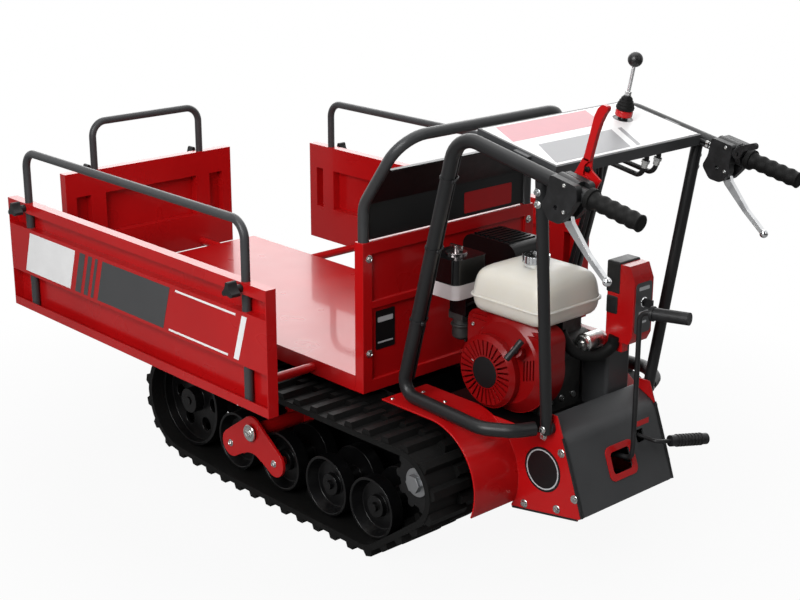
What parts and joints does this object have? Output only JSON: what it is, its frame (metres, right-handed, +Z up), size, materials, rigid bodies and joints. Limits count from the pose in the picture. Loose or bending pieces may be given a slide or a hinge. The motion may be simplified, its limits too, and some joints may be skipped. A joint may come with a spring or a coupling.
{
  "type": "tracked power carrier",
  "caption": "Walk-behind tracked mini dumper with a tipping load bed, drawn-out side panels with hoops, rubber tracks on bogies, a small engine and lever controls.",
  "frame": {"origin": "on the ground, under the middle of the overall box", "axes": "+X to the front of the load bed, +Y to the operator's left, +Z up"},
  "size_m": [2.0454, 1.118, 1.1015],
  "materials": {
    "red_paint": "gloss",
    "dark_paint": "satin",
    "black_paint": "satin",
    "rubber": "matte",
    "black_plastic": "satin",
    "chrome": "polished",
    "cream_tank": "gloss",
    "cast_alloy": "cast",
    "bare_steel": "satin"
  },
  "bodies": {
    "chassis": {"chassis_frame": "black_paint", "fenders": "red_paint", "rear_cover": "dark_paint", "handle_tubes": "dark_paint", "rear_posts": "dark_paint", "console": "dark_paint", "grips": "rubber", "lever_perches": "black_plastic", "valve_block": "bare_steel", "hydraulic_tank": "dark_paint", "engine_block": "cast_alloy", "fan_shroud": "red_paint", "recoil_cover": "red_paint", "fuel_tank": "cream_tank", "air_cleaner": "black_plastic", "muffler": "black_paint", "starter_box": "red_paint", "gearbox": "cast_alloy", "belt_cover": "dark_paint", "control_cables": "black_plastic", "left_track": "rubber", "right_track": "rubber"},
    "bed": {"bed_frame": "red_paint", "headboard": "red_paint", "guard": "dark_paint"},
    "left_panel": {"left_panel": "red_paint", "left_knobs": "black_plastic"},
    "right_panel": {"right_panel": "red_paint", "right_knobs": "black_plastic"},
    "front_panel": {"front_panel": "red_paint", "front_knobs": "black_plastic"},
    "left_hoop": {"left_hoop": "dark_paint"},
    "right_hoop": {"right_hoop": "dark_paint"},
    "front_hoop": {"front_hoop": "dark_paint"},
    "clutch_lever": {"clutch_lever": "red_paint"},
    "left_steer_lever": {"left_steer_lever": "chrome"},
    "right_steer_lever": {"right_steer_lever": "chrome"},
    "throttle_lever": {"throttle_lever": "black_plastic"},
    "gear_lever": {"gear_lever": "black_paint"},
    "range_lever": {"range_lever": "black_paint"},
    "hydraulic_lever": {"hydraulic_lever": "chrome"},
    "recoil_handle": {"recoil_handle": "black_plastic"},
    "fuel_cap": {"fuel_cap": "black_plastic"},
    "starter_key": {"starter_key": "black_plastic"},
    "ram_barrel": {"ram_barrel": "black_paint"},
    "ram_rod": {"ram_rod": "chrome"},
    "left_sprocket": {"left_sprocket": "black_paint"},
    "left_idler": {"left_idler": "black_plastic"},
    "left_bogie": {"left_bogie": "red_paint"},
    "left_roller_1": {"left_roller_1": "black_plastic"},
    "left_roller_2": {"left_roller_2": "black_plastic"},
    "left_roller_3": {"left_roller_3": "black_plastic"},
    "left_roller_4": {"left_roller_4": "black_plastic"},
    "right_sprocket": {"right_sprocket": "black_paint"},
    "right_idler": {"right_idler": "black_plastic"},
    "right_bogie": {"right_bogie": "red_paint"},
    "right_roller_1": {"right_roller_1": "black_plastic"},
    "right_roller_2": {"right_roller_2": "black_plastic"},
    "right_roller_3": {"right_roller_3": "black_plastic"},
    "right_roller_4": {"right_roller_4": "black_plastic"}
  },
  "joints": [
    {"name": "bed_tip", "type": "hinge", "parent": "chassis", "child": "bed", "pos_m": [0.48773, 0, 0.3], "axis": [0, 1, 0], "range_deg": [0, 38]},
    {"name": "ram_swing", "type": "hinge", "parent": "chassis", "child": "ram_barrel", "pos_m": [-0.15227, 0, 0.15], "axis": [0, -1, 0], "range_deg": [0, 20]},
    {"name": "ram_extend", "type": "slide", "parent": "ram_barrel", "child": "ram_rod", "axis": [0.9744, 0, 0.2249], "range_m": [0, 0.081]},
    {"name": "left_panel_slide", "type": "slide", "parent": "bed", "child": "left_panel", "axis": [0, 1, 0], "range_m": [-0.219, 0]},
    {"name": "right_panel_slide", "type": "slide", "parent": "bed", "child": "right_panel", "axis": [0, -1, 0], "range_m": [-0.219, 0]},
    {"name": "front_panel_slide", "type": "slide", "parent": "bed", "child": "front_panel", "axis": [1, 0, 0], "range_m": [-0.115, 0]},
    {"name": "left_hoop_lift", "type": "slide", "parent": "left_panel", "child": "left_hoop", "axis": [0, 0, 1], "range_m": [0, 0.12]},
    {"name": "right_hoop_lift", "type": "slide", "parent": "right_panel", "child": "right_hoop", "axis": [0, 0, 1], "range_m": [0, 0.12]},
    {"name": "front_hoop_lift", "type": "slide", "parent": "front_panel", "child": "front_hoop", "axis": [0, 0, 1], "range_m": [0, 0.12]},
    {"name": "left_drive", "type": "hinge", "parent": "chassis", "child": "left_sprocket", "pos_m": [-0.51028, 0.277, 0.205], "axis": [0, 1, 0], "continuous": true},
    {"name": "left_idler_turn", "type": "hinge", "parent": "chassis", "child": "left_idler", "pos_m": [0.31572, 0.277, 0.154], "axis": [0, 1, 0], "continuous": true},
    {"name": "left_bogie_rock", "type": "hinge", "parent": "chassis", "child": "left_bogie", "pos_m": [0.03472, 0.277, 0.1595], "axis": [0, 1, 0], "range_deg": [-3, 3]},
    {"name": "left_roller_1_turn", "type": "hinge", "parent": "chassis", "child": "left_roller_1", "pos_m": [-0.37528, 0.277, 0.1], "axis": [0, 1, 0], "continuous": true},
    {"name": "left_roller_2_turn", "type": "hinge", "parent": "chassis", "child": "left_roller_2", "pos_m": [-0.21927, 0.277, 0.1], "axis": [0, 1, 0], "continuous": true},
    {"name": "left_roller_3_turn", "type": "hinge", "parent": "left_bogie", "child": "left_roller_3", "pos_m": [-0.05028, 0.277, 0.1055], "axis": [0, 1, 0], "continuous": true},
    {"name": "left_roller_4_turn", "type": "hinge", "parent": "left_bogie", "child": "left_roller_4", "pos_m": [0.11972, 0.277, 0.1055], "axis": [0, 1, 0], "continuous": true},
    {"name": "right_drive", "type": "hinge", "parent": "chassis", "child": "right_sprocket", "pos_m": [-0.51028, -0.277, 0.205], "axis": [0, 1, 0], "continuous": true},
    {"name": "right_idler_turn", "type": "hinge", "parent": "chassis", "child": "right_idler", "pos_m": [0.31572, -0.277, 0.154], "axis": [0, 1, 0], "continuous": true},
    {"name": "right_bogie_rock", "type": "hinge", "parent": "chassis", "child": "right_bogie", "pos_m": [0.03472, -0.277, 0.1595], "axis": [0, 1, 0], "range_deg": [-3, 3]},
    {"name": "right_roller_1_turn", "type": "hinge", "parent": "chassis", "child": "right_roller_1", "pos_m": [-0.37528, -0.277, 0.1], "axis": [0, 1, 0], "continuous": true},
    {"name": "right_roller_2_turn", "type": "hinge", "parent": "chassis", "child": "right_roller_2", "pos_m": [-0.21927, -0.277, 0.1], "axis": [0, 1, 0], "continuous": true},
    {"name": "right_roller_3_turn", "type": "hinge", "parent": "right_bogie", "child": "right_roller_3", "pos_m": [-0.05028, -0.277, 0.1055], "axis": [0, 1, 0], "continuous": true},
    {"name": "right_roller_4_turn", "type": "hinge", "parent": "right_bogie", "child": "right_roller_4", "pos_m": [0.11972, -0.277, 0.1055], "axis": [0, 1, 0], "continuous": true},
    {"name": "clutch_turn", "type": "hinge", "parent": "chassis", "child": "clutch_lever", "pos_m": [-0.84153, 0.209, 0.88844], "axis": [0, -1, 0], "range_deg": [0, 60]},
    {"name": "left_steer_pull", "type": "hinge", "parent": "chassis", "child": "left_steer_lever", "pos_m": [-0.83526, 0.252, 0.86726], "axis": [0, 1, 0], "range_deg": [0, 20], "stiffness_Nm_per_rad": 8},
    {"name": "right_steer_pull", "type": "hinge", "parent": "chassis", "child": "right_steer_lever", "pos_m": [-0.83526, -0.252, 0.86726], "axis": [0, 1, 0], "range_deg": [0, 20], "stiffness_Nm_per_rad": 8},
    {"name": "throttle_turn", "type": "hinge", "parent": "chassis", "child": "throttle_lever", "pos_m": [-0.88423, -0.226, 0.90438], "axis": [0, 1, 0], "range_deg": [0, 50]},
    {"name": "gear_shift", "type": "hinge", "parent": "chassis", "child": "gear_lever", "pos_m": [-0.72228, -0.014, 0.251], "axis": [0, 1, 0], "range_deg": [-7, 7]},
    {"name": "range_shift", "type": "hinge", "parent": "chassis", "child": "range_lever", "pos_m": [-0.75228, -0.079, 0.287], "axis": [1, 0, 0], "range_deg": [-12, 12]},
    {"name": "hydraulic_shift", "type": "hinge", "parent": "chassis", "child": "hydraulic_lever", "pos_m": [-0.65661, -0.13, 0.957], "axis": [0, 1, 0], "range_deg": [-20, 20], "stiffness_Nm_per_rad": 3},
    {"name": "recoil_pull", "type": "slide", "parent": "chassis", "child": "recoil_handle", "axis": [-0.3512, 0.8029, 0.4817], "range_m": [0, 0.3], "stiffness_N_per_m": 60},
    {"name": "fuel_cap_turn", "type": "hinge", "parent": "chassis", "child": "fuel_cap", "pos_m": [-0.59828, 0.064, 0.68], "axis": [0, 0, 1], "range_deg": [0, 90]},
    {"name": "key_turn", "type": "hinge", "parent": "chassis", "child": "starter_key", "pos_m": [-0.78228, -0.072, 0.592], "axis": [1, 0, 0], "range_deg": [0, 90]}
  ],
  "couplings": [
    {"joint": "ram_swing", "follows": "bed_tip", "ratio": 0.5079},
    {"joint": "ram_extend", "follows": "bed_tip", "m_per_rad": 0.1208},
    {"joint": "left_idler_turn", "follows": "left_drive", "ratio": 0.63866},
    {"joint": "left_roller_1_turn", "follows": "left_drive", "ratio": 1.0411},
    {"joint": "left_roller_2_turn", "follows": "left_drive", "ratio": 1.0411},
    {"joint": "left_roller_3_turn", "follows": "left_drive", "ratio": 1.0411},
    {"joint": "left_roller_4_turn", "follows": "left_drive", "ratio": 1.0411},
    {"joint": "right_idler_turn", "follows": "right_drive", "ratio": 0.63866},
    {"joint": "right_roller_1_turn", "follows": "right_drive", "ratio": 1.0411},
    {"joint": "right_roller_2_turn", "follows": "right_drive", "ratio": 1.0411},
    {"joint": "right_roller_3_turn", "follows": "right_drive", "ratio": 1.0411},
    {"joint": "right_roller_4_turn", "follows": "right_drive", "ratio": 1.0411}
  ]
}
